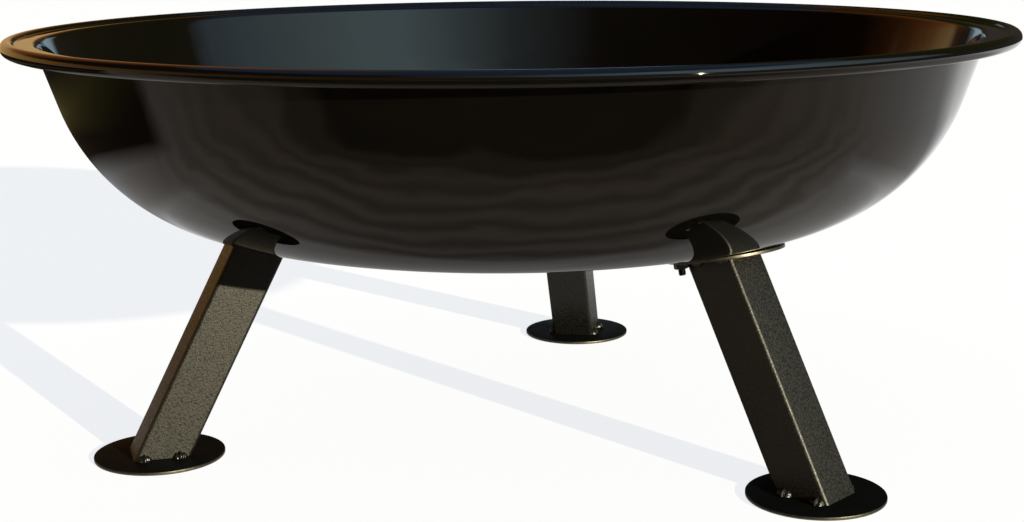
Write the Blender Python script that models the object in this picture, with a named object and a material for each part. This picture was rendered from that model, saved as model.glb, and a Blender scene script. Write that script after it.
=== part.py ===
"""Fire pit: a pressed and enamelled steel bowl on three splayed legs of square tube.

Metres, +Z up. The origin lies on the ground below the middle of the bowl, and one leg points to the
back, +Y. Each leg is a mitred tube between two round plates: a foot plate on the ground, and a mounting
plate that lies flat against the dished bottom of the bowl and is bolted through it.
"""

import math

import bmesh
import bpy
from mathutils import Matrix, Vector

# Overall
HEIGHT = 0.334              # ground to the top of the rolled bead
RIM_RADIUS = 0.400          # axis to the outside of the bead
SEAT_GAP = 0.0003           # between pieces that touch

# Bowl: one sheet, given by the middle of its thickness
SHEET = 0.002
BOWL_DEPTH = 0.181          # top of the bead to the lowest point outside
CROWN_RADIUS = 1.115        # the dished bottom
KNUCKLE_RADIUS = 0.150      # between the bottom and the wall
WALL_DRAFT = math.radians(18.0)
FLANGE_WIDTH = 0.0255       # outside of the bead to where the wall and the flange would meet sharply
FLANGE_BEND = 0.004         # rounds that corner
FLANGE_DROP = 0.003         # top of the bead to the top of the flange
BEAD_RADIUS = 0.0055        # outside of the rolled edge
BEAD_RISE_BEND = 0.003      # turns the flange up into the bead
BEAD_END = math.radians(-150.0)

# Legs
LEG_SIDES = {"left": math.radians(210.0), "right": math.radians(330.0), "back": math.radians(90.0)}
RIM_TO_MOUNT = 0.187        # outside of the bead, inward to where a mounting plate touches the bowl
LEG_SPLAY = math.radians(27.5)
TUBE_WIDTH = 0.040
TUBE_WALL = 0.002
TUBE_CORNER = 0.003
PLATE_THICKNESS = 0.0025
PLATE_EDGE = 0.0003         # broken edge of the cut plates
FOOT_PLATE_RADIUS = 0.052
MOUNTING_PLATE_RADIUS = 0.045
MOUNTING_PLATE_SHIFT = 0.0025   # outward from the middle of the tube's end

# Tack welds, two on each side face of a tube, at both of its ends
TACK_LENGTH = 0.012
TACK_SIZE = 0.006
FOOT_TACK_SPACING = 0.028
MOUNTING_TACK_SPACING = 0.022
MOUNTING_TACK_SHIFT = 0.003

# M6 fasteners: a bolt in the middle of each mounting plate, and one beside the tube's inner corner
BOLT_DIAMETER = 0.006
BOLT_LENGTH = 0.018
BOLT_CLEARANCE = 0.0003
BOLT_HEAD_HEIGHT = 0.004
ACROSS_FLATS = 0.010
HEX_CHAMFER = 0.0006
NUT_HEIGHT = 0.005
NUT_TO_TUBE = 0.0004        # clearance beside the tube's side face
WASHER_RADIUS = 0.006
WASHER_THICKNESS = 0.0016
CORNER_BOLT_INWARD = 0.0205

# Facets
ROUND_STEPS = 64
PLATE_STEPS = 40
SMALL_STEPS = 12
CROWN_STEPS = 6
KNUCKLE_STEPS = 8
BEND_STEPS = 3
BEAD_STEPS = 12
CORNER_STEPS = 3
TACK_STEPS = 8
MERGE = 0.00001
SHARP_ANGLE = math.radians(35.0)


class Dish:
    """The bowl's half section, worked out from the driving sizes as points (radius, height).

    From the axis outward the middle of the sheet runs along the crown arc, the knuckle arc, the wall,
    the bend to the flange, the flange, a bend upward and the bead, each tangent to the next.
    """

    def __init__(self):
        half = SHEET / 2
        self.flange_z = HEIGHT - FLANGE_DROP - half
        self.up_wall = Vector((math.sin(WALL_DRAFT), math.cos(WALL_DRAFT)))
        self.into_bowl = Vector((-math.cos(WALL_DRAFT), math.sin(WALL_DRAFT)))
        self.mouth = Vector((RIM_RADIUS - FLANGE_WIDTH, self.flange_z))
        self.crown_centre = Vector((0.0, HEIGHT - BOWL_DEPTH + half + CROWN_RADIUS))
        self.knuckle_centre = self.find_knuckle()
        towards = self.knuckle_centre - self.crown_centre
        self.crown_end = math.atan2(towards.y, towards.x)
        self.bend_centre = self.find_flange_bend()
        self.bead_centre = Vector((RIM_RADIUS - BEAD_RADIUS, HEIGHT - BEAD_RADIUS))
        self.rise_centre, self.rise_end = self.find_rise()

    def find_knuckle(self):
        """Centre of the arc that is tangent to the wall and, from inside, to the crown."""
        on_wall = self.mouth + KNUCKLE_RADIUS * self.into_bowl
        reach = on_wall - self.crown_centre
        along = reach.dot(self.up_wall)
        apart = CROWN_RADIUS - KNUCKLE_RADIUS
        down = along + math.sqrt(along**2 - reach.length_squared + apart**2)
        return on_wall - down * self.up_wall

    def find_flange_bend(self):
        """Centre of the bend between the wall and the level flange, on their underside."""
        turn = math.pi / 2 - WALL_DRAFT
        back = FLANGE_BEND * math.tan(turn / 2)
        return self.mouth - back * self.up_wall - FLANGE_BEND * self.into_bowl

    def find_rise(self):
        """Centre and last angle of the bend that lifts the flange tangentially into the bead."""
        centre_z = self.flange_z + BEAD_RISE_BEND
        drop = centre_z - self.bead_centre.y
        run = math.sqrt((BEAD_RADIUS - SHEET / 2 + BEAD_RISE_BEND) ** 2 - drop**2)
        return Vector((self.bead_centre.x - run, centre_z)), math.atan2(-drop, run)

    def arcs(self):
        """Each arc as centre, radius, first and last angle, steps, and 1 where its outer side is inside."""
        level = math.pi / 2
        return (
            (self.crown_centre, CROWN_RADIUS, -level, self.crown_end, CROWN_STEPS, -1),
            (self.knuckle_centre, KNUCKLE_RADIUS, self.crown_end, -WALL_DRAFT, KNUCKLE_STEPS, -1),
            (self.bend_centre, FLANGE_BEND, math.pi - WALL_DRAFT, level, BEND_STEPS, 1),
            (self.rise_centre, BEAD_RISE_BEND, -level, self.rise_end, BEND_STEPS, -1),
            (self.bead_centre, BEAD_RADIUS - SHEET / 2, math.pi + self.rise_end, BEAD_END, BEAD_STEPS, 1),
        )

    def section(self):
        """The closed section: along the inside and over the bead, then back along the underside."""
        inside = []
        underside = []
        for centre, radius, first, last, steps, side in self.arcs():
            for i in range(steps + 1):
                angle = first + (last - first) * i / steps
                spoke = Vector((math.cos(angle), math.sin(angle)))
                point = centre + (radius + side * SHEET / 2) * spoke
                if not inside or (point - inside[-1]).length > MERGE:
                    inside.append(point)
                    underside.append(centre + (radius - side * SHEET / 2) * spoke)
        return inside + underside[::-1]

    def touch(self):
        """Slope and place of the underside where a leg meets it, on the crown or on the knuckle."""
        half = SHEET / 2
        reach = RIM_RADIUS - RIM_TO_MOUNT
        slope = math.asin(reach / (CROWN_RADIUS + half))
        centre = self.crown_centre
        radius = CROWN_RADIUS + half
        if slope > self.crown_end + math.pi / 2:
            centre = self.knuckle_centre
            radius = KNUCKLE_RADIUS + half
            slope = math.asin((reach - centre.x) / radius)
        return slope, centre + radius * Vector((math.sin(slope), -math.cos(slope)))

    def above_inside(self, point):
        """How far a point lies from the dish's inner face, positive within the bowl."""
        flat = Vector((math.hypot(point.x, point.y), point.z))
        from_crown = flat - self.crown_centre
        if math.atan2(from_crown.y, from_crown.x) <= self.crown_end:
            return CROWN_RADIUS - SHEET / 2 - from_crown.length
        return KNUCKLE_RADIUS - SHEET / 2 - (flat - self.knuckle_centre).length


def clear_scene():
    for old in list(bpy.data.objects):
        bpy.data.objects.remove(old, do_unlink=True)


def material(name, colour, roughness, metallic):
    """A Principled material with a linear base colour."""
    made = bpy.data.materials.new(name)
    made.use_nodes = True
    shader = made.node_tree.nodes["Principled BSDF"]
    shader.inputs["Base Color"].default_value = (*colour, 1.0)
    shader.inputs["Roughness"].default_value = roughness
    shader.inputs["Metallic"].default_value = metallic
    return made


def finished_mesh(name, bm, finish):
    """Ends a bmesh as a mesh: faces outward, round faces smooth, edges past SHARP_ANGLE sharp."""
    bmesh.ops.recalc_face_normals(bm, faces=bm.faces)
    mesh = bpy.data.meshes.new(name)
    bm.to_mesh(mesh)
    bm.free()
    mesh.shade_smooth()
    mesh.set_sharp_from_angle(angle=SHARP_ANGLE)
    mesh.materials.append(finish)
    return mesh


def place(name, mesh, parent=None, matrix=None):
    """A named object at a place in its parent's frame, or an empty where there is no mesh."""
    made = bpy.data.objects.new(name, mesh)
    bpy.context.collection.objects.link(made)
    made.parent = parent
    if matrix:
        made.matrix_local = matrix
    return made


def ring(radius, z, steps=SMALL_STEPS):
    """A level circle of points about Z."""
    turn = 2 * math.pi / steps
    return [Vector((radius * math.cos(i * turn), radius * math.sin(i * turn), z)) for i in range(steps)]


def hexagon(z):
    """A level hexagon, pointed at its corners and mid-flats, with two flats facing +Y and -Y."""
    flat = ACROSS_FLATS / 2
    corner = flat / math.cos(math.pi / 6)
    return [(corner if i % 2 == 0 else flat) * point.normalized() for i, point in enumerate(ring(1.0, 0.0))]


def at_height(points, z):
    return [Vector((point.x, point.y, z)) for point in points]


def loft(rings, hollow=False):
    """Joins rings of equal count. The ends are capped, or a hollow piece's last ring meets its first."""
    bm = bmesh.new()
    loops = [[bm.verts.new(point) for point in points] for points in rings]
    count = len(loops[0])
    pairs = list(zip(loops, loops[1:]))
    if hollow:
        pairs.append((loops[-1], loops[0]))
    for low, high in pairs:
        for i in range(count):
            j = (i + 1) % count
            bm.faces.new((low[i], low[j], high[j], high[i]))
    if not hollow:
        bm.faces.new(loops[0])
        bm.faces.new(loops[-1])
    return bm


def mount_frame(dish):
    """Frame of a mounting plate, its leg not yet turned: X uphill along it, Z square into the bowl."""
    slope, point = dish.touch()
    return Matrix.Translation((point.x, 0.0, point.y)) @ Matrix.Rotation(-slope, 4, "Y")


def bolt_places():
    """Bolt centres on a mounting plate: in its middle, and beside the inner corner of the tube."""
    aside = TUBE_WIDTH / 2 + NUT_TO_TUBE + ACROSS_FLATS / 2
    return {"middle": (0.0, 0.0), "corner": (-CORNER_BOLT_INWARD, -aside)}


def tube_top(mount):
    """Middle of the tube's mitred end, just below its mounting plate."""
    return mount @ Vector((0.0, 0.0, -SEAT_GAP - PLATE_THICKNESS - SEAT_GAP))


def foot_centre(mount):
    """Radius at which the tube's axis reaches the top of the foot plate."""
    top = tube_top(mount)
    return top.x + (top.z - PLATE_THICKNESS) * math.tan(LEG_SPLAY)


def washer_seat(dish, mount, x, y):
    """Height over the plate at which a washer just clears the bowl's curved inside, by halving."""
    low = 0.0
    high = KNUCKLE_RADIUS
    edge = ring(WASHER_RADIUS, 0.0)
    while high - low > MERGE:
        middle = (low + high) / 2
        spots = [mount @ Vector((x + point.x, y + point.y, middle)) for point in edge]
        if min(dish.above_inside(spot) for spot in spots) < SEAT_GAP:
            low = middle
        else:
            high = middle
    return high


def bowl_mesh(dish, enamel):
    """One pressing: the section, revolved."""
    bm = bmesh.new()
    section = [bm.verts.new((point.x, 0.0, point.y)) for point in dish.section()]
    edges = [bm.edges.new(pair) for pair in zip(section, section[1:])]
    bmesh.ops.spin(
        bm,
        geom=section + edges,
        cent=(0.0, 0.0, 0.0),
        axis=(0.0, 0.0, 1.0),
        angle=2 * math.pi,
        steps=ROUND_STEPS,
        use_duplicate=False,
    )
    bmesh.ops.remove_doubles(bm, verts=bm.verts, dist=MERGE)
    return finished_mesh("bowl", bm, enamel)


def tube_outline(width, corner):
    """A square with round corners, as points (across the leg, along its side)."""
    inset = width / 2 - corner
    outline = []
    for quarter in range(4):
        start = quarter * math.pi / 2
        centre = Matrix.Rotation(start, 2) @ Vector((inset, inset))
        for i in range(CORNER_STEPS + 1):
            angle = start + i * math.pi / 2 / CORNER_STEPS
            outline.append(centre + corner * Vector((math.cos(angle), math.sin(angle))))
    return outline


def tube_mesh(mount, coat):
    """A square tube, cut level above its foot plate and mitred to its mounting plate."""
    axis = Vector((-math.sin(LEG_SPLAY), 0.0, math.cos(LEG_SPLAY)))
    across = Vector((math.cos(LEG_SPLAY), 0.0, math.sin(LEG_SPLAY)))
    aside = Vector((0.0, 1.0, 0.0))
    into_bowl = mount.to_3x3() @ Vector((0.0, 0.0, 1.0))
    top = tube_top(mount)
    foot = Vector((0.0, 0.0, PLATE_THICKNESS + SEAT_GAP))

    def cut(outline, point, square):
        """The outline, carried along the tube's axis to the plane through a point."""
        lines = [top + u * across + v * aside for u, v in outline]
        return [line + axis * ((point - line).dot(square) / axis.dot(square)) for line in lines]

    outer = tube_outline(TUBE_WIDTH, TUBE_CORNER)
    inner = tube_outline(TUBE_WIDTH - 2 * TUBE_WALL, max(TUBE_CORNER - TUBE_WALL, TUBE_WALL / 4))
    level = Vector((0.0, 0.0, 1.0))
    rings = [
        cut(outer, foot, level),
        cut(outer, top, into_bowl),
        cut(inner, top, into_bowl),
        cut(inner, foot, level),
    ]
    return finished_mesh("leg_tube", loft(rings, hollow=True), coat)


def plate_mesh(name, radius, coat):
    """A round plate on Z = 0, with its edges broken."""
    rings = [
        ring(radius - PLATE_EDGE, 0.0, PLATE_STEPS),
        ring(radius, PLATE_EDGE, PLATE_STEPS),
        ring(radius, PLATE_THICKNESS - PLATE_EDGE, PLATE_STEPS),
        ring(radius - PLATE_EDGE, PLATE_THICKNESS, PLATE_STEPS),
    ]
    return finished_mesh(name, loft(rings), coat)


def tack_mesh(coat):
    """A tack weld between a tube's side, Y = 0, and a plate, Z = 0: a quarter of an ellipsoid."""
    bm = bmesh.new()
    bmesh.ops.create_uvsphere(bm, u_segments=TACK_STEPS, v_segments=TACK_STEPS, radius=1.0)
    bmesh.ops.scale(bm, vec=(TACK_LENGTH / 2, TACK_SIZE, TACK_SIZE), verts=bm.verts)
    for square in (Vector((0.0, 1.0, 0.0)), Vector((0.0, 0.0, 1.0))):
        cut = bmesh.ops.bisect_plane(
            bm,
            geom=bm.verts[:] + bm.edges[:] + bm.faces[:],
            plane_co=square * SEAT_GAP,
            plane_no=square,
            clear_inner=True,
        )
        rim = [part for part in cut["geom_cut"] if isinstance(part, bmesh.types.BMEdge)]
        bmesh.ops.edgeloop_fill(bm, edges=rim)
    return finished_mesh("tack_weld", bm, coat)


def tack_places(centre, spacing):
    """Frames of the four tacks round a tube's end, two on each side face."""
    for turn, side in ((0.0, 1), (math.pi, -1)):
        for along in (-spacing / 2, spacing / 2):
            corner = Vector((centre + along, side * TUBE_WIDTH / 2, 0.0))
            yield Matrix.Translation(corner) @ Matrix.Rotation(turn, 4, "Z")


def bolt_mesh(steel):
    """A hexagon bolt with the underside of its head on Z = 0."""
    radius = BOLT_DIAMETER / 2
    rings = [
        ring(radius - HEX_CHAMFER, -BOLT_LENGTH),
        ring(radius, HEX_CHAMFER - BOLT_LENGTH),
        ring(radius, 0.0),
        hexagon(0.0),
        at_height(hexagon(0.0), BOLT_HEAD_HEIGHT - HEX_CHAMFER),
        ring(ACROSS_FLATS / 2 - HEX_CHAMFER, BOLT_HEAD_HEIGHT),
    ]
    return finished_mesh("mounting_bolt", loft(rings), steel)


def washer_mesh(steel):
    """A flat washer on Z = 0."""
    hole = BOLT_DIAMETER / 2 + BOLT_CLEARANCE
    rings = [
        ring(hole, 0.0),
        ring(WASHER_RADIUS, 0.0),
        ring(WASHER_RADIUS, WASHER_THICKNESS),
        ring(hole, WASHER_THICKNESS),
    ]
    return finished_mesh("bolt_washer", loft(rings, hollow=True), steel)


def nut_mesh(steel):
    """A hexagon nut below Z = 0."""
    hole = BOLT_DIAMETER / 2 + BOLT_CLEARANCE
    rings = [
        ring(hole, 0.0),
        hexagon(0.0),
        at_height(hexagon(0.0), HEX_CHAMFER - NUT_HEIGHT),
        ring(ACROSS_FLATS / 2 - HEX_CHAMFER, -NUT_HEIGHT),
        ring(hole, -NUT_HEIGHT),
    ]
    return finished_mesh("bolt_nut", loft(rings, hollow=True), steel)


def make_hole_cutter(mount):
    """All bolt holes of the bowl and the mounting plates, as one hidden cutter."""
    bm = bmesh.new()
    radius = BOLT_DIAMETER / 2 + BOLT_CLEARANCE
    for azimuth in LEG_SIDES.values():
        for x, y in bolt_places().values():
            spot = Matrix.Rotation(azimuth, 4, "Z") @ mount @ Matrix.Translation((x, y, 0.0))
            bmesh.ops.create_cone(
                bm,
                cap_ends=True,
                segments=SMALL_STEPS,
                radius1=radius,
                radius2=radius,
                depth=2 * BOLT_LENGTH,
                matrix=spot,
            )
    cutter = place("bolt_hole_cutter", finished_mesh("bolt_hole_cutter", bm, None))
    cutter.hide_render = True
    cutter.display_type = "WIRE"
    return cutter


def drill(target, cutter):
    cut = target.modifiers.new("bolt holes", "BOOLEAN")
    cut.object = cutter
    cut.operation = "DIFFERENCE"
    cut.solver = "EXACT"


def make_leg(side, azimuth, meshes, dish, mount, cutter):
    """One leg with its two plates, its welds and its fasteners, turned about the bowl's axis."""
    leg = place(f"leg_{side}", None, matrix=Matrix.Rotation(azimuth, 4, "Z"))
    mount_empty = place(f"mount_{side}", None, leg, mount)
    centre = foot_centre(mount)
    place(f"leg_tube_{side}", meshes["tube"], leg)
    place(f"foot_plate_{side}", meshes["foot plate"], leg, Matrix.Translation((centre, 0.0, 0.0)))
    on_foot = Matrix.Translation((0.0, 0.0, PLATE_THICKNESS))
    for number, spot in enumerate(tack_places(centre, FOOT_TACK_SPACING), 1):
        place(f"foot_weld_{side}_{number}", meshes["tack"], leg, on_foot @ spot)

    plate_low = -SEAT_GAP - PLATE_THICKNESS
    low = Matrix.Translation((0.0, 0.0, plate_low))
    beside = Matrix.Translation((MOUNTING_PLATE_SHIFT, 0.0, plate_low))
    drill(place(f"mounting_plate_{side}", meshes["mounting plate"], mount_empty, beside), cutter)
    upside_down = low @ Matrix.Rotation(math.pi, 4, "X")
    for number, spot in enumerate(tack_places(MOUNTING_TACK_SHIFT, MOUNTING_TACK_SPACING), 1):
        place(f"mounting_weld_{side}_{number}", meshes["tack"], mount_empty, upside_down @ spot)

    for which, (x, y) in bolt_places().items():
        seat = washer_seat(dish, mount, x, y)
        head = seat + WASHER_THICKNESS + SEAT_GAP
        for name, z in (("washer", seat), ("bolt", head), ("nut", plate_low - SEAT_GAP)):
            spot = Matrix.Translation((x, y, z))
            place(f"mounting_{name}_{side}_{which}", meshes[name], mount_empty, spot)


def main():
    clear_scene()
    enamel = material("black_enamel", (0.006, 0.006, 0.007), 0.08, 0.0)
    tube_coat = material("black_powder_coat", (0.018, 0.017, 0.014), 0.55, 0.0)
    plate_coat = material("black_satin_coat", (0.008, 0.009, 0.012), 0.32, 0.0)
    steel = material("blackened_steel", (0.035, 0.034, 0.032), 0.40, 1.0)

    dish = Dish()
    mount = mount_frame(dish)
    cutter = make_hole_cutter(mount)
    drill(place("bowl", bowl_mesh(dish, enamel)), cutter)
    meshes = {
        "tube": tube_mesh(mount, tube_coat),
        "foot plate": plate_mesh("foot_plate", FOOT_PLATE_RADIUS, plate_coat),
        "mounting plate": plate_mesh("mounting_plate", MOUNTING_PLATE_RADIUS, plate_coat),
        "tack": tack_mesh(tube_coat),
        "bolt": bolt_mesh(steel),
        "washer": washer_mesh(steel),
        "nut": nut_mesh(steel),
    }
    for side, azimuth in LEG_SIDES.items():
        make_leg(side, azimuth, meshes, dish, mount, cutter)


main()
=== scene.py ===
import math

import bmesh
import bpy
import numpy as np
from mathutils import Matrix, Vector


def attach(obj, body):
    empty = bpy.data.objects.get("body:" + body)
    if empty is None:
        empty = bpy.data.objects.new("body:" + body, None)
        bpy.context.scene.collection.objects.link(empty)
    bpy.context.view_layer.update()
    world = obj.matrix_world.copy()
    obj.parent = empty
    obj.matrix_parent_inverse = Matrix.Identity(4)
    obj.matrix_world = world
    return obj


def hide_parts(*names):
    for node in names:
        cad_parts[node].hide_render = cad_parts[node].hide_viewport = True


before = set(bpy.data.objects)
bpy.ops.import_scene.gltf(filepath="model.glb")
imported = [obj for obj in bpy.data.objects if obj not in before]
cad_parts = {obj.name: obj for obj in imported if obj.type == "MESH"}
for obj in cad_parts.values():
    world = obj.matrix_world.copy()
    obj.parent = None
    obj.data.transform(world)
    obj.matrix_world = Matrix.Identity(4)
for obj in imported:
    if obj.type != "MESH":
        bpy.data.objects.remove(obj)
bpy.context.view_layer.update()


# Bowl
# One round of deep-drawing steel, 2 mm thick: a dished bottom, a knuckle, a drafted wall, a level flange and
# an edge rolled under into an open bead. Both sides are black vitreous enamel. The six holes for the legs'
# bolts are left uncut, because washers and plates hide them.

HEIGHT = 0.334
RIM_RADIUS = 0.400
SHEET = 0.002
CROWN_RADIUS = 1.115
KNUCKLE_RADIUS = 0.150
WALL_DRAFT = math.radians(18.0)
BOWL_DEPTH = 0.181
MOUTH_RADIUS = 0.3745
FLANGE_BEND = 0.004
FLANGE_DROP = 0.003
FLANGE_Z = HEIGHT - FLANGE_DROP - SHEET / 2
BEAD_RADIUS = 0.0055
RISE_BEND = 0.003
BEAD_END = math.radians(-150.0)
STRAIGHT_STEP = 0.004
SHARP_EDGE = math.radians(35.0)


def arc(centre, radius, first, last, steps):
    """Points centre + radius (cos a, sin a) and their spokes (cos a, sin a), a in equal steps."""
    a = np.linspace(first, last, steps + 1)
    spokes = np.stack([np.cos(a), np.sin(a)], 1)
    return np.asarray(centre) + radius * spokes, spokes


def surface(name, grid, closed_rows=False):
    """A skin over grid[row, column] = (x, y, z): each point is joined to the next in its row, which wraps
    round, and to the next row. With closed_rows the last row is joined to the first. Points doubled at a pole
    are merged and the faces turned outward."""
    rows, columns = grid.shape[:2]
    index = np.arange(rows * columns).reshape(rows, columns)
    along = np.roll(index, -1, 1)
    if closed_rows:
        low, low_next, high, high_next = index, along, np.roll(index, -1, 0), np.roll(along, -1, 0)
    else:
        low, low_next, high, high_next = index[:-1], along[:-1], index[1:], along[1:]
    faces = np.stack([low, low_next, high_next, high], -1).reshape(-1, 4)
    mesh = bpy.data.meshes.new(name)
    mesh.from_pydata(grid.reshape(-1, 3), [], faces)
    bm = bmesh.new()
    bm.from_mesh(mesh)
    bmesh.ops.remove_doubles(bm, verts=bm.verts, dist=1e-7)
    bmesh.ops.recalc_face_normals(bm, faces=bm.faces)
    bm.to_mesh(mesh)
    bm.free()
    mesh.shade_smooth()
    mesh.set_sharp_from_angle(angle=SHARP_EDGE)
    made = bpy.data.objects.new(name, mesh)
    bpy.context.collection.objects.link(made)
    return made


def turned(outline, steps):
    """A lathe grid: each point (radius, height) of the outline becomes a ring about Z."""
    a = np.arange(steps) * 2 * math.pi / steps
    r, z = outline[:, :1], outline[:, 1:]
    return np.stack([r * np.cos(a), r * np.sin(a), z + 0 * a], -1)


def bowl_outline():
    """Half section of the bowl. The sheet's middle line runs through the crown, the knuckle, the wall, the
    flange bend, the flange, the rise and the bead, each tangent to the next, with straight runs filled in by
    equal steps. Each skin is that line moved by half the sheet along its normal, and a half circle of the
    sheet's thickness ends the bead."""
    half = SHEET / 2
    level = math.pi / 2
    up_wall = np.array([math.sin(WALL_DRAFT), math.cos(WALL_DRAFT)])
    into_bowl = np.array([-math.cos(WALL_DRAFT), math.sin(WALL_DRAFT)])
    mouth = np.array([MOUTH_RADIUS, FLANGE_Z])
    crown = np.array([0.0, HEIGHT - BOWL_DEPTH + half + CROWN_RADIUS])
    on_wall = mouth + KNUCKLE_RADIUS * into_bowl
    reach = on_wall - crown
    along = reach @ up_wall
    down = along + math.sqrt(along**2 - reach @ reach + (CROWN_RADIUS - KNUCKLE_RADIUS) ** 2)
    knuckle = on_wall - down * up_wall
    crown_end = math.atan2(*(knuckle - crown)[::-1])
    bend = mouth - FLANGE_BEND * (math.tan((level - WALL_DRAFT) / 2) * up_wall + into_bowl)
    bead = np.array([RIM_RADIUS - BEAD_RADIUS, HEIGHT - BEAD_RADIUS])
    rise_z = FLANGE_Z + RISE_BEND
    run = math.sqrt((BEAD_RADIUS - half + RISE_BEND) ** 2 - (rise_z - bead[1]) ** 2)
    rise = np.array([bead[0] - run, rise_z])
    rise_end = math.atan2(bead[1] - rise_z, run)

    pieces = [
        (arc(crown, CROWN_RADIUS, -level, crown_end, 44), -1),
        (arc(knuckle, KNUCKLE_RADIUS, crown_end, -WALL_DRAFT, 44), -1),
        (arc(bend, FLANGE_BEND, math.pi - WALL_DRAFT, level, 10), 1),
        (arc(rise, RISE_BEND, -level, rise_end, 8), -1),
        (arc(bead, BEAD_RADIUS - half, math.pi + rise_end, BEAD_END, 36), 1),
    ]
    line = []
    square = []
    for (points, spokes), side in pieces:
        if line:
            gap = np.linalg.norm(points[0] - line[-1][-1])
            if gap > STRAIGHT_STEP / 2:
                share = np.linspace(0, 1, int(gap / STRAIGHT_STEP) + 2)[1:-1, None]
                line.append(line[-1][-1] * (1 - share) + points[0] * share)
                square.append(np.repeat(side * spokes[:1], len(share), 0))
        line.append(points)
        square.append(side * spokes)
    line = np.concatenate(line)
    square = np.concatenate(square)
    keep = np.r_[True, np.linalg.norm(np.diff(line, axis=0), axis=1) > 1e-6]
    line, square = line[keep], square[keep]
    last = math.atan2(square[-1, 1], square[-1, 0])
    edge = arc(line[-1], half, last, last - math.pi, 8)[0][1:-1]
    return np.concatenate([line + half * square, edge, (line - half * square)[::-1]])


def linear(code):
    """sRGB hex to linear red, green, blue and alpha."""
    value = np.array([int(code[i:i + 2], 16) for i in (1, 3, 5)]) / 255
    value = np.where(value <= 0.04045, value / 12.92, ((value + 0.055) / 1.055) ** 2.4)
    return (*value.tolist(), 1.0)


def add_node(tree, kind, inputs=None, **settings):
    """Adds a node. An input given as (node, output) is linked, and any other value is set."""
    made = tree.nodes.new(kind)
    for key, value in settings.items():
        setattr(made, key, value)
    for key, value in (inputs or {}).items():
        if isinstance(value, tuple) and isinstance(value[0], bpy.types.Node):
            tree.links.new(value[0].outputs[value[1]], made.inputs[key])
        else:
            made.inputs[key].default_value = value
    return made


def new_material(name):
    """An empty node material with its output node, and Object coordinates in metres."""
    made = bpy.data.materials.new(name)
    made.use_nodes = True
    tree = made.node_tree
    tree.nodes.clear()
    return made, tree, tree.nodes.new("ShaderNodeOutputMaterial"), tree.nodes.new("ShaderNodeTexCoord")


# Vitreous enamel is black glass fused to the steel at 800 degrees: a deep black with hard reflections, that
# flow a little over the waves of the glass and go soft where fine dust lies. The waves are 45 mm apart, the
# fine peel on them 6 mm, and the patches of dust 120 mm.
ENAMEL_WAVES = 0.045
ENAMEL_PEEL = 0.006
ENAMEL_DUST = 0.12
enamel, tree, output, place = new_material("black vitreous enamel")
waves = add_node(tree, "ShaderNodeTexNoise", {"Vector": (place, "Object"), "Scale": 1 / ENAMEL_WAVES,
                                              "Detail": 1.0, "Roughness": 0.4})
peel = add_node(tree, "ShaderNodeTexNoise", {"Vector": (place, "Object"), "Scale": 1 / ENAMEL_PEEL,
                                             "Detail": 2.0, "Roughness": 0.5})
dust = add_node(tree, "ShaderNodeTexNoise", {"Vector": (place, "Object"), "Scale": 1 / ENAMEL_DUST,
                                             "Detail": 6.0, "Roughness": 0.6})
dust_rough = add_node(tree, "ShaderNodeMapRange", {"Value": (dust, "Fac"), "From Min": 0.35, "From Max": 0.75,
                                                   "To Min": 0.018, "To Max": 0.036})
wave_bump = add_node(tree, "ShaderNodeBump", {"Height": (waves, "Fac"), "Strength": 1.0, "Distance": 0.00017})
peel_bump = add_node(tree, "ShaderNodeBump", {"Height": (peel, "Fac"), "Strength": 1.0, "Distance": 0.000006,
                                              "Normal": (wave_bump, "Normal")})
enamel_tint = add_node(tree, "ShaderNodeMix", {"Factor": (dust, "Fac"), "A": linear("#030304"),
                                               "B": linear("#080706")}, data_type="RGBA")
glass = add_node(tree, "ShaderNodeBsdfPrincipled", {
    "Base Color": (enamel_tint, "Result"), "Roughness": (dust_rough, "Result"), "IOR": 1.52,
    "Normal": (peel_bump, "Normal")})
tree.links.new(glass.outputs["BSDF"], output.inputs["Surface"])

bowl = surface("enamelled_bowl", turned(bowl_outline(), 256))
bowl.data.materials.append(enamel)
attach(bowl, "root")
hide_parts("bowl")


# Leg tubes
# Three lengths of 40 mm square steel tube with 2 mm walls, sawn level for the foot plate and at a slant for
# the mounting plate, and powder coated in a fine-textured black.

SIDES = {"left": 210.0, "right": 330.0, "back": 90.0}
TUBE = 0.040
TUBE_WALL = 0.002
TUBE_CORNER = 0.003
SPLAY = math.radians(27.5)
PLATE = 0.0025
GAP = 0.0003
MOUNT_REACH = 0.213
slope = math.asin(MOUNT_REACH / (CROWN_RADIUS + SHEET / 2))
mount_z = HEIGHT - BOWL_DEPTH + SHEET / 2 + CROWN_RADIUS - (CROWN_RADIUS + SHEET / 2) * math.cos(slope)
mount = Matrix.Translation((MOUNT_REACH, 0, mount_z)) @ Matrix.Rotation(-slope, 4, "Y")


def leg_frame(side):
    """The leg's own frame: X outward along the leg's azimuth, Y to its left, Z up."""
    return Matrix.Rotation(math.radians(SIDES[side]), 4, "Z")


def moved(points, matrix):
    """Points carried by a 4 by 4 matrix."""
    matrix = np.array(matrix)
    return points @ matrix[:3, :3].T + matrix[:3, 3]


def rounded_square(width, corner, steps):
    """A square outline whose corners are quarter circles."""
    inset = width / 2 - corner
    quarters = []
    for start in np.arange(4) * math.pi / 2:
        middle = start + math.pi / 4
        centre = inset * math.sqrt(2) * np.array([math.cos(middle), math.sin(middle)])
        quarters.append(arc(centre, corner, start, start + math.pi / 2, steps)[0])
    return np.concatenate(quarters)


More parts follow.
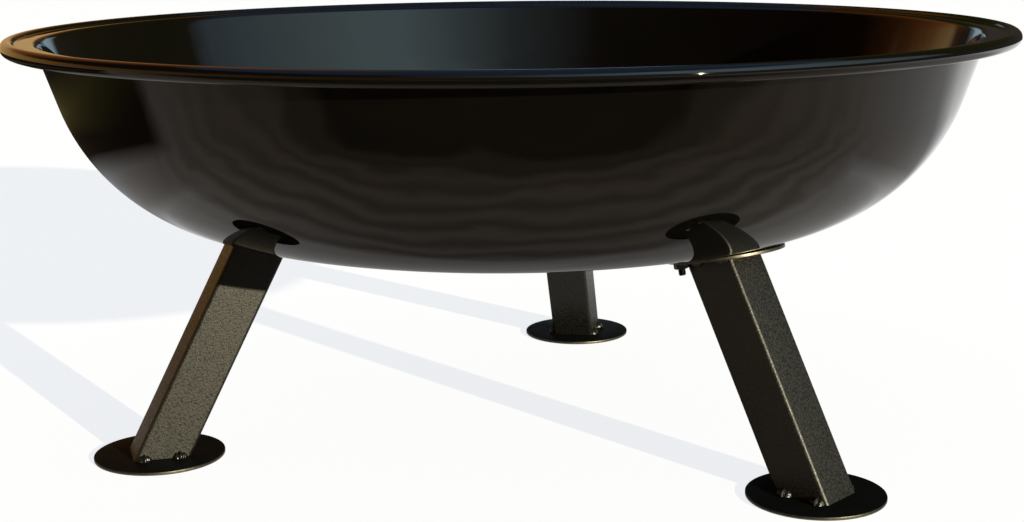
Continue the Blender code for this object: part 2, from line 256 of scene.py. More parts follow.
def tube_grid():
    """Rings of the tube's outline, carried along its axis to the two cutting planes: the outer skin going up
    in 24 equal steps, the mitred end, the inner skin going down and the level end."""
    axis = np.array([-math.sin(SPLAY), 0, math.cos(SPLAY)])
    across = np.array([math.cos(SPLAY), 0, math.sin(SPLAY)])
    aside = np.array([0.0, 1.0, 0.0])
    top = np.array(mount @ Vector((0, 0, -2 * GAP - PLATE)))
    foot = np.array([0, 0, PLATE + GAP])
    into_bowl = np.array(mount.to_3x3() @ Vector((0, 0, 1)))
    up = np.array([0.0, 0.0, 1.0])

    def cut(outline, point, square):
        lines = top + outline[:, :1] * across + outline[:, 1:] * aside
        return lines + axis * ((point - lines) @ square / (axis @ square))[:, None]

    outer = rounded_square(TUBE, TUBE_CORNER, 10)
    inner = rounded_square(TUBE - 2 * TUBE_WALL, TUBE_CORNER - TUBE_WALL, 10)
    low, high = cut(outer, foot, up), cut(outer, top, into_bowl)
    share = np.linspace(0, 1, 25)[:, None, None]
    outside = low * (1 - share) + high * share
    return np.concatenate([outside, [cut(inner, top, into_bowl)], [cut(inner, foot, up)]])


# A fine-textured polyester powder coat is a matt black with a sandy grain, which sparkles where the low light
# rakes over it. The real grain is under a millimetre wide. It is drawn at 1.4 mm so that it shows, and the
# specks of more and less gloss at 1.7 mm.
POWDER_GRAIN = 0.0014
POWDER_SPECK = 0.0017
powder, tree, output, place = new_material("fine textured black powder coat")
grain = add_node(tree, "ShaderNodeTexNoise", {"Vector": (place, "Object"), "Scale": 1 / POWDER_GRAIN,
                                              "Detail": 3.0, "Roughness": 0.65})
speck = add_node(tree, "ShaderNodeTexNoise", {"Vector": (place, "Object"), "Scale": 1 / POWDER_SPECK,
                                              "Detail": 1.0})
powder_rough = add_node(tree, "ShaderNodeMapRange", {
    "Value": (speck, "Fac"), "From Min": 0.36, "From Max": 0.64, "To Min": 0.34, "To Max": 0.55})
powder_bump = add_node(tree, "ShaderNodeBump", {"Height": (grain, "Fac"), "Strength": 1.0,
                                                "Distance": 0.0002})
powder_tint = add_node(tree, "ShaderNodeMix", {"Factor": (grain, "Fac"), "A": linear("#030302"),
                                               "B": linear("#0e0d0b")}, data_type="RGBA")
coat = add_node(tree, "ShaderNodeBsdfPrincipled", {
    "Base Color": (powder_tint, "Result"), "Roughness": (powder_rough, "Result"), "IOR": 1.52,
    "Normal": (powder_bump, "Normal")})
tree.links.new(coat.outputs["BSDF"], output.inputs["Surface"])

for side in SIDES:
    tube = surface(f"square_tube_leg_{side}", moved(tube_grid(), leg_frame(side)), closed_rows=True)
    tube.data.materials.append(powder)
    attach(tube, "root")
    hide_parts(f"leg_tube_{side}")


# Round plates
# Discs laser-cut from 2.5 mm steel sheet: a foot plate under each tube, and a mounting plate that lies flat
# against the bowl and is bolted to it. They are painted smooth and satin, thinly on their cut edges.

FOOT_RADIUS = 0.052
MOUNTING_RADIUS = 0.045
MOUNTING_SHIFT = 0.0025
PLATE_ROUND = 0.0004
BOLT = 0.006
BOLT_ROOM = 0.0003
HEX = 0.010
NUT_TO_TUBE = 0.0004
CORNER_BOLT_SETBACK = 0.0205
bolt_spots = {"middle": (0.0, 0.0), "corner": (-CORNER_BOLT_SETBACK, -(TUBE / 2 + NUT_TO_TUBE + HEX / 2))}
top_of_tube = mount @ Vector((0, 0, -2 * GAP - PLATE))
foot_reach = top_of_tube.x + (top_of_tube.z - PLATE) * math.tan(SPLAY)


def disc_outline(radius, thickness, edge):
    """Half section of a disc on Z = 0 whose edges are rounded by quarter circles."""
    low = arc((radius - edge, edge), edge, -math.pi / 2, 0, 4)[0]
    high = arc((radius - edge, thickness - edge), edge, 0, math.pi / 2, 4)[0]
    under = [[0, 0], [radius / 2, 0]]
    over = [[radius / 2, thickness], [0, thickness]]
    return np.concatenate([under, low, high, over])


# Satin black paint, sprayed thin on smooth sheet, is a cool dark skin without texture. It hardly mirrors, and
# its sheen drifts over smears some 18 mm wide. The finest spray mist is drawn at 1.2 mm so that it shows.
SATIN_SMEAR = 0.018
SATIN_MIST = 0.0012
satin, tree, output, place = new_material("satin black paint on cut steel")
smear = add_node(tree, "ShaderNodeTexNoise", {"Vector": (place, "Object"), "Scale": 1 / SATIN_SMEAR,
                                              "Detail": 5.0, "Roughness": 0.65})
mist = add_node(tree, "ShaderNodeTexNoise", {"Vector": (place, "Object"), "Scale": 1 / SATIN_MIST,
                                             "Detail": 2.0})
satin_rough = add_node(tree, "ShaderNodeMapRange", {"Value": (smear, "Fac"), "From Min": 0.3, "From Max": 0.7,
                                                    "To Min": 0.36, "To Max": 0.48})
satin_bump = add_node(tree, "ShaderNodeBump", {"Height": (mist, "Fac"), "Strength": 1.0, "Distance": 0.00004})
satin_tint = add_node(tree, "ShaderNodeMix", {"Factor": (smear, "Fac"), "A": linear("#08090b"),
                                              "B": linear("#101113")}, data_type="RGBA")
satin_paint = add_node(tree, "ShaderNodeBsdfPrincipled", {
    "Base Color": (satin_tint, "Result"), "Roughness": (satin_rough, "Result"), "IOR": 1.45,
    "Specular IOR Level": 0.009, "Normal": (satin_bump, "Normal")})
tree.links.new(satin_paint.outputs["BSDF"], output.inputs["Surface"])

# Paint barely covers the sharp laser-cut edge, so rubbed steel shows through there, in scuffs of 4 mm, and
# glints in low light.
EDGE_SCUFF = 0.004
rubbed, tree, output, place = new_material("rubbed cut edge")
scuff = add_node(tree, "ShaderNodeTexNoise", {"Vector": (place, "Object"), "Scale": 1 / EDGE_SCUFF,
                                              "Detail": 4.0, "Roughness": 0.7})
rubbed_tint = add_node(tree, "ShaderNodeMix", {"Factor": (scuff, "Fac"), "A": linear("#2b2a26"),
                                               "B": linear("#726f66")}, data_type="RGBA")
edge_metal = add_node(tree, "ShaderNodeBsdfPrincipled", {
    "Base Color": (rubbed_tint, "Result"), "Roughness": 0.42, "Metallic": 1.0})
tree.links.new(edge_metal.outputs["BSDF"], output.inputs["Surface"])

for side in SIDES:
    for word, node, radius, matrix in (
        ("round_foot", "foot_plate", FOOT_RADIUS, Matrix.Translation((foot_reach, 0, 0))),
        ("round_mounting_plate", "mounting_plate", MOUNTING_RADIUS,
         mount @ Matrix.Translation((MOUNTING_SHIFT, 0, -GAP - PLATE))),
    ):
        matrix = leg_frame(side) @ matrix
        disc = surface(f"{word}_{side}", moved(turned(disc_outline(radius, PLATE, PLATE_ROUND), 120), matrix))
        disc.data.materials.append(satin)
        disc.data.materials.append(rubbed)
        for face in disc.data.polygons:
            face.material_index = int((matrix.inverted() @ face.center).xy.length > radius - PLATE_ROUND)
        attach(disc, "root")
        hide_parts(f"{node}_{side}")


# Tack welds
# Each tube is held to its two plates by short tacks, two on each side face at both ends. A tack is a lump of
# weld metal that froze in three overlapping pools, and it is coated with the rest of the leg.

TACK_LENGTH = 0.012
TACK_SIZE = 0.006
FOOT_TACKS_APART = 0.028
MOUNTING_TACKS_APART = 0.022
MOUNTING_TACKS_SHIFT = 0.003
rng = np.random.default_rng(7)


def tack_grid(length, size, ripple, lean):
    """A fillet lump along X between the walls Y = 0 and Z = 0. At share u of its length the section is a
    quarter circle of radius size * sin(pi u) ** 0.5, pinched by the share ripple where cos(6 pi u) peaks,
    between its three pools. By the share lean it swells on one half and shrinks on the other, never past
    size, and it is closed along the two walls at the seat gap."""
    u = np.linspace(0, 1, 29)[:, None]
    v = np.linspace(0, math.pi / 2, 13)[None, :]
    swell = np.sqrt(np.clip(np.sin(math.pi * u), 0, 1)) * (1 - ripple * (0.5 + 0.5 * np.cos(6 * math.pi * u)))
    reach = GAP + (size - GAP) * swell * (1 + lean * np.sin(2 * v) * np.cos(math.pi * u))
    reach = np.minimum(reach, size)
    x = (u - 0.5) * length + 0 * v
    y = GAP + (reach - GAP) * np.cos(v)
    z = GAP + (reach - GAP) * np.sin(v)
    skin = np.stack([x, y, z], -1)
    corner = np.stack([x[:, :1], GAP + 0 * x[:, :1], GAP + 0 * x[:, :1]], -1)
    return np.concatenate([skin, corner], 1)


def tacks(centre, spacing):
    """Frames of the four tacks round a tube's end, two on each side face."""
    for turn, way in ((0.0, 1), (math.pi, -1)):
        for along in (-spacing / 2, spacing / 2):
            corner = Matrix.Translation((centre + along, way * TUBE / 2, 0))
            yield corner @ Matrix.Rotation(turn, 4, "Z")


# Under the powder coat weld metal is smooth and rippled, 1.6 mm from ripple to ripple, so a tack stays black
# and shows a few small hard glints.
WELD_RIPPLE = 0.0016
weld, tree, output, place = new_material("coated weld metal")
ripple = add_node(tree, "ShaderNodeTexNoise", {"Vector": (place, "Object"), "Scale": 1 / WELD_RIPPLE,
                                               "Detail": 2.0})
weld_bump = add_node(tree, "ShaderNodeBump", {"Height": (ripple, "Fac"), "Strength": 1.0, "Distance": 0.0005})
weld_coat = add_node(tree, "ShaderNodeBsdfPrincipled", {
    "Base Color": linear("#0d0d0b"), "Roughness": 0.3, "IOR": 1.45, "Normal": (weld_bump, "Normal")})
tree.links.new(weld_coat.outputs["BSDF"], output.inputs["Surface"])

upside_down = Matrix.Rotation(math.pi, 4, "X")
for side in SIDES:
    on_foot = leg_frame(side) @ Matrix.Translation((0, 0, PLATE))
    under_mount = leg_frame(side) @ mount @ Matrix.Translation((0, 0, -GAP - PLATE)) @ upside_down
    for end, base, centre, spacing in (("foot", on_foot, foot_reach, FOOT_TACKS_APART),
                                       ("mounting", under_mount, MOUNTING_TACKS_SHIFT, MOUNTING_TACKS_APART)):
        for number, spot in enumerate(tacks(centre, spacing), 1):
            grid = tack_grid(TACK_LENGTH, TACK_SIZE * rng.uniform(0.9, 1.0), rng.uniform(0.10, 0.22),
                             rng.uniform(-0.25, 0.25))
            tack = surface(f"{end}_tack_{side}_{number}", moved(grid, base @ spot))
            tack.data.materials.append(weld)
            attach(tack, "root")
            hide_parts(f"{end}_weld_{side}_{number}")


# Bolts, washers and nuts
# Blackened M6 set screws, two to each leg, go down through the bowl and the mounting plates. A flat washer
# spreads each head's load on the enamel, and a nut closes each bolt below.

BOLT_LENGTH = 0.018
HEAD_HEIGHT = 0.004
NUT_HEIGHT = 0.005
WASHER_RADIUS = 0.006
WASHER = 0.0016
WASHER_ROUND = 0.0002
PITCH = 0.001
THREAD_DEPTH = 0.0006
THREAD_END = 0.0012
COLLAR = 0.0002
COUNTERSINK = 0.0003
COUNTERSINK_DEPTH = 0.0004
CHAMFER_RADIUS = 0.96 * HEX / 2
FACE_RADIUS = 0.95 * HEX / 2
CORNER_DROP = 0.0001
AROUND = 72


def hexagon_radius(a):
    """Distance from the middle of a hexagon to its side at angle a, flats facing +Y and -Y."""
    return HEX / 2 / np.cos((a + math.pi / 6) % (math.pi / 3) - math.pi / 6 + 0 * a)


def rings(radii, heights, a):
    """A grid of rings about Z from radii[row, column] and heights[row, column]."""
    return np.stack([radii * np.cos(a), radii * np.sin(a), heights], -1)


def chamfer(radius, height, direction):
    """Height of a hexagon's edge where a 30 degree cone cuts its corners: height less the tangent of 30
    degrees times the radius past the chamfer circle, or plus that for a direction of -1."""
    return height - direction * np.maximum(radius - CHAMFER_RADIUS, 0) * math.tan(math.radians(30))


def bolt_grid():
    """From the tip up: the thread's radius follows a triangular wave of height / pitch - angle / 2 pi, fading
    at the tip and under the head, and the hexagon head ends in its chamfer and a slightly crowned top."""
    a = np.arange(AROUND) * 2 * math.pi / AROUND
    z = np.linspace(-BOLT_LENGTH, -THREAD_END, 150)[:, None]
    wave = np.abs(((z / PITCH - a / (2 * math.pi)) % 1) * 2 - 1)
    start = np.clip((z + BOLT_LENGTH) / PITCH, 0, 1)
    end = np.clip(-(z + THREAD_END) / PITCH, 0, 1)
    thread = BOLT / 2 - THREAD_DEPTH * wave * end - THREAD_DEPTH * (1 - start)
    flat = np.ones_like(a)
    head = hexagon_radius(a)
    rows = [
        (0 * flat, -BOLT_LENGTH * flat),
        ((BOLT / 2 - 2 * THREAD_DEPTH) * flat, -BOLT_LENGTH * flat),
        *zip(thread, z + 0 * a),
        (BOLT / 2 * flat, 0 * flat),
        (FACE_RADIUS * flat, 0 * flat),
        (CHAMFER_RADIUS * flat, COLLAR * flat),
        (head, COLLAR * flat),
        (head, chamfer(head, HEAD_HEIGHT - CORNER_DROP, 1)),
        (FACE_RADIUS * flat, (HEAD_HEIGHT - CORNER_DROP / 2) * flat),
        (HEX / 4 * flat, HEAD_HEIGHT * flat),
        (0 * flat, HEAD_HEIGHT * flat),
    ]
    return rings(np.array([row[0] for row in rows]), np.array([row[1] for row in rows]), a)


def nut_grid():
    """A hexagon below Z = 0 with both ends chamfered and a countersunk hole."""
    a = np.arange(AROUND) * 2 * math.pi / AROUND
    flat = np.ones_like(a)
    side = hexagon_radius(a)
    hole = BOLT / 2 + BOLT_ROOM
    rows = [
        (hole * flat, -COUNTERSINK_DEPTH * flat),
        ((hole + COUNTERSINK) * flat, 0 * flat),
        (FACE_RADIUS * flat, 0 * flat),
        (side, chamfer(side, -CORNER_DROP, 1)),
        (side, chamfer(side, -NUT_HEIGHT + CORNER_DROP, -1)),
        (FACE_RADIUS * flat, -NUT_HEIGHT * flat),
        ((hole + COUNTERSINK) * flat, -NUT_HEIGHT * flat),
        (hole * flat, (COUNTERSINK_DEPTH - NUT_HEIGHT) * flat),
    ]
    return rings(np.array([row[0] for row in rows]), np.array([row[1] for row in rows]), a)


def washer_outline():
    """A punched ring's section: a square one with small rounded corners."""
    low, high, edge = BOLT / 2 + BOLT_ROOM, WASHER_RADIUS, WASHER_ROUND
    corners = [((high - edge, edge), -90), ((high - edge, WASHER - edge), 0),
               ((low + edge, WASHER - edge), 90), ((low + edge, edge), 180)]
    return np.concatenate([arc(c, edge, math.radians(s), math.radians(s + 90), 3)[0] for c, s in corners])


def washer_seat(x, y):
    """Height over the mounting plate at which a washer's rim just clears the bowl's inner skin by the gap,
    found by halving the range that holds it down to 0.01 mm."""
    crown_z = HEIGHT - BOWL_DEPTH + SHEET / 2 + CROWN_RADIUS
    a = np.arange(12) * math.pi / 6
    low, high = 0.0, KNUCKLE_RADIUS
    while high - low > 1e-5:
        middle = (low + high) / 2
        rim = np.stack([x + WASHER_RADIUS * np.cos(a), y + WASHER_RADIUS * np.sin(a), middle + 0 * a], -1)
        rim = moved(rim, mount)
        room = CROWN_RADIUS - SHEET / 2 - np.hypot(np.hypot(rim[:, 0], rim[:, 1]), rim[:, 2] - crown_z)
        low, high = (middle, high) if room.min() < GAP else (low, middle)
    return high


# Blackened steel has a thin black oxide skin: a dark grey metal with a dull shine, paler where a spanner or a
# thumb has rubbed it, in patches of 3 mm.
STEEL_RUB = 0.003
steel, tree, output, place = new_material("blackened steel")
rub = add_node(tree, "ShaderNodeTexNoise", {"Vector": (place, "Object"), "Scale": 1 / STEEL_RUB,
                                            "Detail": 4.0, "Roughness": 0.7})
steel_tint = add_node(tree, "ShaderNodeMix", {"Factor": (rub, "Fac"), "A": linear("#1e1d1c"),
                                              "B": linear("#4a4744")}, data_type="RGBA")
steel_rough = add_node(tree, "ShaderNodeMapRange", {"Value": (rub, "Fac"), "From Min": 0.3, "From Max": 0.7,
                                                    "To Min": 0.32, "To Max": 0.48})
steel_bump = add_node(tree, "ShaderNodeBump", {"Height": (rub, "Fac"), "Strength": 1.0, "Distance": 0.00003})
metal = add_node(tree, "ShaderNodeBsdfPrincipled", {
    "Base Color": (steel_tint, "Result"), "Roughness": (steel_rough, "Result"), "Metallic": 1.0,
    "Normal": (steel_bump, "Normal")})
tree.links.new(metal.outputs["BSDF"], output.inputs["Surface"])

for side in SIDES:
    for which, (x, y) in bolt_spots.items():
        washer_z = washer_seat(x, y)
        for word, grid, z, closed in (
            ("washer", turned(washer_outline(), AROUND), washer_z, True),
            ("bolt", bolt_grid(), washer_z + WASHER + GAP, False),
            ("nut", nut_grid(), -2 * GAP - PLATE, True),
        ):
            matrix = leg_frame(side) @ mount @ Matrix.Translation((x, y, z))
            piece = surface(f"{word}_{side}_{which}", moved(grid, matrix), closed_rows=closed)
            piece.data.materials.append(steel)
            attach(piece, "root")
            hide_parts(f"mounting_{word}_{side}_{which}")


# Camera
# It stands 1.35 m from the bowl's axis and 0.42 m above the floor, a little to the right of the front, and
# looks down by 13 degrees. The surround and the floor card below are laid out along the same direction.

view_turn = math.radians(12.436)
view_distance = 1.34527
view_height = 0.42060
pitch = math.radians(13.051)
roll = -0.01119
right = Vector((math.cos(view_turn), math.sin(view_turn), 0))
ahead = Vector((-math.sin(view_turn), math.cos(view_turn), 0))
up = Vector((0, 0, 1))
sight = ahead * math.cos(pitch) - up * math.sin(pitch)
lift = ahead * math.sin(pitch) + up * math.cos(pitch)
side_axis = right * math.cos(roll) + lift * math.sin(roll)
up_axis = lift * math.cos(roll) - right * math.sin(roll)
camera = bpy.data.objects.new("camera", bpy.data.cameras.new("camera"))
bpy.context.collection.objects.link(camera)
camera.matrix_world = Matrix.Translation(ahead * -view_distance + up * view_height) @ Matrix(
    (side_axis, up_axis, -sight)).transposed().to_4x4()
camera.data.lens = 57.289
camera.data.sensor_width = 36.0
camera.data.shift_x = -0.00155
camera.data.shift_y = 0.0324
camera.data.clip_start = 0.01
bpy.context.scene.camera = camera


# Floor, sky and lamps
# A pale floor under a soft sky, with a low warm key from the front right and a wide cool lamp overhead. Where
# floor and sky are seen or mirrored they are white, and what they throw on the object is plain and weak.

bpy.context.scene.view_settings.view_transform = "Standard"


def seen_directly(tree):
    """1 for camera, glossy and transmission rays, 0 for the rays that carry light to the object."""
    path = tree.nodes.new("ShaderNodeLightPath")
    both = add_node(tree, "ShaderNodeMath", {0: (path, "Is Camera Ray"), 1: (path, "Is Glossy Ray")},
                    operation="MAXIMUM")
    return add_node(tree, "ShaderNodeMath", {0: (both, 0), 1: (path, "Is Transmission Ray")},
                    operation="MAXIMUM")


def stage_surface(name, grid, paint, wraps=False):
    """An open surface that isn't part of the object, over grid[row, column], whose rows may wrap round."""
    rows, columns = grid.shape[:2]
    index = np.arange(rows * columns).reshape(rows, columns)
    near = index if wraps else index[:, :-1]
    far = np.roll(index, -1, 1) if wraps else index[:, 1:]
    faces = np.stack([near[:-1], far[:-1], far[1:], near[1:]], -1).reshape(-1, 4)
    mesh = bpy.data.meshes.new(name)
    mesh.from_pydata(grid.reshape(-1, 3), [], faces)
    mesh.materials.append(paint)
    made = bpy.data.objects.new(name, mesh)
    bpy.context.collection.objects.link(made)
    return made


FLOOR_REACH = 40.0
FLOOR_GLOW = 0.76
floor_paint, tree, output, place = new_material("pale floor")
plain = add_node(tree, "ShaderNodeBsdfDiffuse", {"Color": linear("#f6f6f6")})
glow = add_node(tree, "ShaderNodeEmission", {"Color": (0.95, 0.97, 1.0, 1.0), "Strength": 1.14})
share = add_node(tree, "ShaderNodeMath", {0: (seen_directly(tree), 0), 1: FLOOR_GLOW}, operation="MULTIPLY")
mixed = add_node(tree, "ShaderNodeMixShader", {0: (share, 0), 1: (plain, 0), 2: (glow, 0)})
tree.links.new(mixed.outputs[0], output.inputs["Surface"])
floor_corners = FLOOR_REACH * np.array([[[-1, -1, 0], [1, -1, 0]], [[-1, 1, 0], [1, 1, 0]]])
stage_surface("floor", floor_corners, floor_paint)

world = bpy.data.worlds.new("studio")
bpy.context.scene.world = world
world.use_nodes = True
tree = world.node_tree
tree.nodes.clear()
ambient = add_node(tree, "ShaderNodeBackground", {"Color": linear("#f8faff"), "Strength": 0.15})
white = add_node(tree, "ShaderNodeBackground", {"Color": (1.0, 1.0, 1.0, 1.0), "Strength": 1.0})
mixed = add_node(tree, "ShaderNodeMixShader", {0: (seen_directly(tree), 0), 1: (ambient, 0), 2: (white, 0)})
add_node(tree, "ShaderNodeOutputWorld", {"Surface": (mixed, 0)})


def aim(lamp, towards):
    """Turns a lamp, which shines along its own -Z, to shine along a direction."""
    lamp.rotation_mode = "QUATERNION"
    lamp.rotation_quaternion = Vector(towards).to_track_quat("-Z", "Y")


key_azimuth = math.radians(322.0)
key_height = math.radians(13.0)
key = bpy.data.objects.new("key", bpy.data.lights.new("key", "SUN"))
bpy.context.collection.objects.link(key)
key.data.energy = 9.0
key.data.angle = math.radians(0.6)
key.data.color = linear("#fff3cc")[:3]
aim(key, (-math.cos(key_height) * math.cos(key_azimuth), -math.cos(key_height) * math.sin(key_azimuth),
          -math.sin(key_height)))

overhead = bpy.data.objects.new("overhead", bpy.data.lights.new("overhead", "AREA"))
bpy.context.collection.objects.link(overhead)
overhead.data.shape = "DISK"
overhead.data.size = 4.0
overhead.data.energy = 6.0
overhead.data.color = linear("#9cc0f2")[:3]
overhead.location = (0.0, 0.0, 2.5)
overhead.visible_camera = False
aim(overhead, (0, 0, -1))

# Painted surround
# Black gloss shows what stands round it, so a round wall 4 m away, with a dark blue ceiling, is painted like
# the open air in low sun, and only reflections see it. Low down it is brown behind, orange and tan on the
# left, nearly black ahead and grey on the right, with one pale blue window straight ahead. Higher up it is
# brown to orange on the left, olive black ahead, and pale blue on the right and behind. Each ramp is a few
# plain, rounded colours.


def only_reflected(piece):
    """Hides a surface from everything but reflections."""
    piece.visible_camera = False
    piece.visible_diffuse = False
    piece.visible_shadow = False


def painted_ramp(tree, factor, stops):
    """A colour ramp through stops of (value, sRGB hex), for a factor from the first value to the last."""
    first, last = stops[0][0], stops[-1][0]
    share = add_node(tree, "ShaderNodeMapRange", {"Value": factor, "From Min": first, "From Max": last})
    ramp = add_node(tree, "ShaderNodeValToRGB", {"Fac": (share, "Result")})
    elements = ramp.color_ramp.elements
    while len(elements) < len(stops):
        elements.new(0.5)
    for element, (value, paint) in zip(elements, stops):
        element.position = (value - first) / (last - first)
        element.color = linear(paint)
    return ramp


SURROUND_REACH = 4.0
SURROUND_TOP = 5.4
SURROUND_GLOW = 1.4
PAINT_TURN = 5.0
PAINT_WOBBLE = 10.0
surround_paint, tree, output, place = new_material("painted surround")
turn_to_view = add_node(tree, "ShaderNodeMapping", {"Vector": (place, "Object"),
                                                    "Rotation": (0.0, 0.0, -view_turn)})
wobble = add_node(tree, "ShaderNodeTexNoise", {"Vector": (place, "Object"), "Scale": 1.1, "Detail": 4.0,
                                               "Roughness": 0.6})
xyz = add_node(tree, "ShaderNodeSeparateXYZ", {0: (turn_to_view, 0)})
# The compass angle is counted in degrees clockwise from about straight ahead, and the wobble bends it.
compass = add_node(tree, "ShaderNodeMath", {0: (xyz, "X"), 1: (xyz, "Y")}, operation="ARCTAN2")
compass = add_node(tree, "ShaderNodeMath", {0: (compass, 0), 1: 180 / math.pi, 2: -PAINT_TURN},
                   operation="MULTIPLY_ADD")
compass = add_node(tree, "ShaderNodeMath", {0: (wobble, "Fac"), 1: PAINT_WOBBLE, 2: (compass, 0)},
                   operation="MULTIPLY_ADD")
compass = add_node(tree, "ShaderNodeMath", {0: (compass, 0), 1: -180.0, 2: 180.0}, operation="WRAP")
low_ramp = painted_ramp(tree, (compass, 0), [
    (-180, "#302018"), (-60, "#b08040"), (-20, "#b09060"), (-15, "#302820"), (110, "#303030"),
    (150, "#505050"), (180, "#302018")])
high_ramp = painted_ramp(tree, (compass, 0), [
    (-180, "#708088"), (-150, "#201810"), (-60, "#281808"), (-20, "#a06030"), (-5, "#282810"),
    (73, "#282810"), (78, "#8098a8"), (130, "#d0f0f8"), (145, "#d0f0f8"), (180, "#708088")])
wave = add_node(tree, "ShaderNodeMath", {0: (wobble, "Fac"), 1: 0.8, 2: (xyz, "Z")}, operation="MULTIPLY_ADD")
wave = add_node(tree, "ShaderNodeMath", {0: (xyz, "Y"), 1: 0.12, 2: (wave, 0)}, operation="MULTIPLY_ADD")
rise = add_node(tree, "ShaderNodeMapRange", {"Value": (wave, 0), "From Min": 1.55, "From Max": 2.15},
                interpolation_type="SMOOTHSTEP")
paint = add_node(tree, "ShaderNodeMix", {"Factor": (rise, 0), "A": (low_ramp, 0), "B": (high_ramp, 0)},
                 data_type="RGBA")
window = add_node(tree, "ShaderNodeMapRange", {"Value": (xyz, "Z"), "From Min": 1.3, "From Max": 0.95})
for first, last in ((-6, -2), (9, 6)):
    jamb = add_node(tree, "ShaderNodeMapRange", {"Value": (compass, 0), "From Min": first, "From Max": last})
    window = add_node(tree, "ShaderNodeMath", {0: (window, 0), 1: (jamb, 0)}, operation="MULTIPLY")
paint = add_node(tree, "ShaderNodeMix", {"Factor": (window, 0), "A": (paint, "Result"),
                                         "B": linear("#a0b8c8")}, data_type="RGBA")
top = add_node(tree, "ShaderNodeMapRange", {"Value": (xyz, "Z"), "From Min": 4.7, "From Max": 5.39})
paint = add_node(tree, "ShaderNodeMix", {"Factor": (top, 0), "A": (paint, "Result"),
                                         "B": linear("#284868")}, data_type="RGBA")
light = add_node(tree, "ShaderNodeEmission", {"Color": (paint, "Result"), "Strength": SURROUND_GLOW})
tree.links.new(light.outputs[0], output.inputs["Surface"])
turns = np.arange(72) * 2 * math.pi / 72
levels = np.append(np.linspace(0.01, SURROUND_TOP, 9), SURROUND_TOP)[:, None]
reach = np.append(np.full(9, SURROUND_REACH), 0.05)[:, None]
wall = np.stack([reach * np.cos(turns), reach * np.sin(turns), levels + 0 * turns], -1)
only_reflected(stage_surface("painted_surround", wall, surround_paint, wraps=True))

# Floor card
# A sheet 1 mm above the floor glows as a painted reflection of the ground, and only reflections see it.
# It darkens what the object mirrors of the floor. It covers the floor before the object and on both sides,
# and most of what lies under it, and is clear behind. It is nearly black far in front, brown to grey near
# the object, darkest right under the bowl as painted shade of the bowl, dark brown with one paler streak at
# the back left, and paler far to the right as painted sunlit ground. Even stripes cross it before the
# object, and fade to both sides.
STRIPE = 0.08
STRIPE_DEPTH = 0.25
card_paint, tree, output, place = new_material("floor card")
turn_to_view = add_node(tree, "ShaderNodeMapping", {"Vector": (place, "Object"),
                                                    "Rotation": (0.0, 0.0, -view_turn)})
xyz = add_node(tree, "ShaderNodeSeparateXYZ", {0: (turn_to_view, 0)})
folds = add_node(tree, "ShaderNodeTexNoise", {"Vector": (place, "Object"), "Scale": 3.0, "Detail": 3.0,
                                              "Roughness": 0.6})
band = add_node(tree, "ShaderNodeMath", {0: (folds, "Fac"), 1: 0.26, 2: (xyz, "Y")}, operation="MULTIPLY_ADD")
ground = painted_ramp(tree, (band, 0), [
    (-1.4, "#302818"), (-0.5, "#302818"), (-0.35, "#908070"), (0.0, "#a09890"), (0.6, "#909090")])
turn = add_node(tree, "ShaderNodeMath", {0: (band, 0), 1: 2 * math.pi / STRIPE}, operation="MULTIPLY")
sideways = add_node(tree, "ShaderNodeMath", {0: (xyz, "X")}, operation="ABSOLUTE")
depth = add_node(tree, "ShaderNodeMapRange", {"Value": (sideways, 0), "From Min": 0.3, "From Max": 0.9,
                                              "To Min": STRIPE_DEPTH, "To Max": 0.0})
before = add_node(tree, "ShaderNodeMapRange", {"Value": (xyz, "Y"), "From Min": 0.0, "From Max": -0.2})
depth = add_node(tree, "ShaderNodeMath", {0: (depth, 0), 1: (before, 0)}, operation="MULTIPLY")
stripes = add_node(tree, "ShaderNodeMath", {0: (turn, 0)}, operation="SINE")
stripes = add_node(tree, "ShaderNodeMath", {0: (stripes, 0), 1: (depth, 0), 2: 1.0}, operation="MULTIPLY_ADD")
back_left = add_node(tree, "ShaderNodeMath", {0: (folds, "Fac"), 1: 0.16, 2: (xyz, "Y")},
                     operation="MULTIPLY_ADD")
back_left = add_node(tree, "ShaderNodeMapRange", {
    "Value": (back_left, 0), "From Min": -0.14, "From Max": -0.02}, interpolation_type="SMOOTHSTEP")
leftward = add_node(tree, "ShaderNodeMapRange", {"Value": (xyz, "X"), "From Min": -0.62, "From Max": -0.74})
left_dark = add_node(tree, "ShaderNodeMath", {0: (back_left, 0), 1: (leftward, 0)}, operation="MULTIPLY")
brown = painted_ramp(tree, (xyz, "X"), [
    (-2.2, "#282018"), (-1.24, "#282018"), (-1.06, "#504828"), (-0.86, "#282018")])
ground = add_node(tree, "ShaderNodeMix", {"Factor": (left_dark, 0), "A": (ground, 0), "B": (brown, 0)},
                  data_type="RGBA")
# Painted light: far to the right the card pales towards white, as painted sunlit ground.
beside = add_node(tree, "ShaderNodeMapRange", {"Value": (xyz, "X"), "From Min": 0.45, "From Max": 1.60,
                                               "To Min": 0.0, "To Max": 0.5}, interpolation_type="SMOOTHSTEP")
tone = add_node(tree, "ShaderNodeMix", {"Factor": (beside, 0), "A": (ground, "Result"),
                                        "B": linear("#f8f8f8")}, data_type="RGBA")
# Painted shade: near the bowl's axis the card dims and covers more of the floor, as painted shade of the
# bowl.
axis = add_node(tree, "ShaderNodeVectorMath", {0: (turn_to_view, 0)}, operation="LENGTH")
shade = add_node(tree, "ShaderNodeMapRange", {"Value": (axis, "Value"), "From Min": 0.10, "From Max": 0.48,
                                              "To Min": 0.28, "To Max": 1.0}, interpolation_type="SMOOTHSTEP")
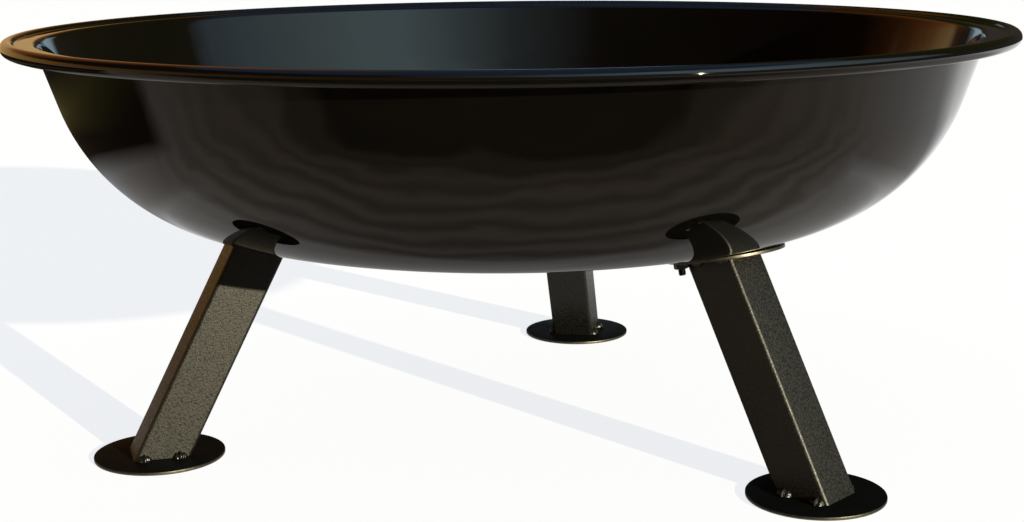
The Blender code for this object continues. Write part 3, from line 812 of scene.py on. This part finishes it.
shade = add_node(tree, "ShaderNodeMath", {0: (shade, 0), 1: (stripes, 0)}, operation="MULTIPLY")
light = add_node(tree, "ShaderNodeEmission", {"Color": (tone, "Result"), "Strength": (shade, 0)})
clear = tree.nodes.new("ShaderNodeBsdfTransparent")
front = add_node(tree, "ShaderNodeMapRange", {"Value": (xyz, "Y"), "From Min": 0.02, "From Max": -0.16},
                 interpolation_type="SMOOTHSTEP")
outer = add_node(tree, "ShaderNodeMapRange", {"Value": (xyz, "X"), "From Min": -0.34, "From Max": -0.50},
                 interpolation_type="SMOOTHSTEP")
cover = add_node(tree, "ShaderNodeMath", {0: (front, 0), 1: (outer, 0)}, operation="MAXIMUM")
under = add_node(tree, "ShaderNodeMapRange", {"Value": (axis, "Value"), "From Min": 0.75, "From Max": 0.40,
                                              "To Min": 0.0, "To Max": 0.85}, interpolation_type="SMOOTHSTEP")
cover = add_node(tree, "ShaderNodeMath", {0: (cover, 0), 1: (under, 0)}, operation="MAXIMUM")
inner = add_node(tree, "ShaderNodeMapRange", {"Value": (xyz, "X"), "From Min": 0.40, "From Max": 0.60})
before = add_node(tree, "ShaderNodeMapRange", {"Value": (xyz, "Y"), "From Min": 0.85, "From Max": 0.45})
rightward = add_node(tree, "ShaderNodeMath", {0: (inner, 0), 1: (before, 0)}, operation="MULTIPLY")
cover = add_node(tree, "ShaderNodeMath", {0: (cover, 0), 1: (rightward, 0)}, operation="MAXIMUM")
mixed = add_node(tree, "ShaderNodeMixShader", {0: (cover, 0), 1: (clear, 0), 2: (light, 0)})
tree.links.new(mixed.outputs[0], output.inputs["Surface"])


def from_view(points):
    """Points (right, ahead) as seen from the camera, put into the object's frame 1 mm above the floor."""
    points = np.asarray(points)
    flat = points[..., :1] * np.array(right) + points[..., 1:] * np.array(ahead)
    flat[..., 2] = 0.001
    return flat


card_corners = from_view([[(-3.5, -3.5), (2.5, -3.5)], [(-3.5, 3.5), (2.5, 3.5)]])
only_reflected(stage_surface("floor_card", card_corners, card_paint))
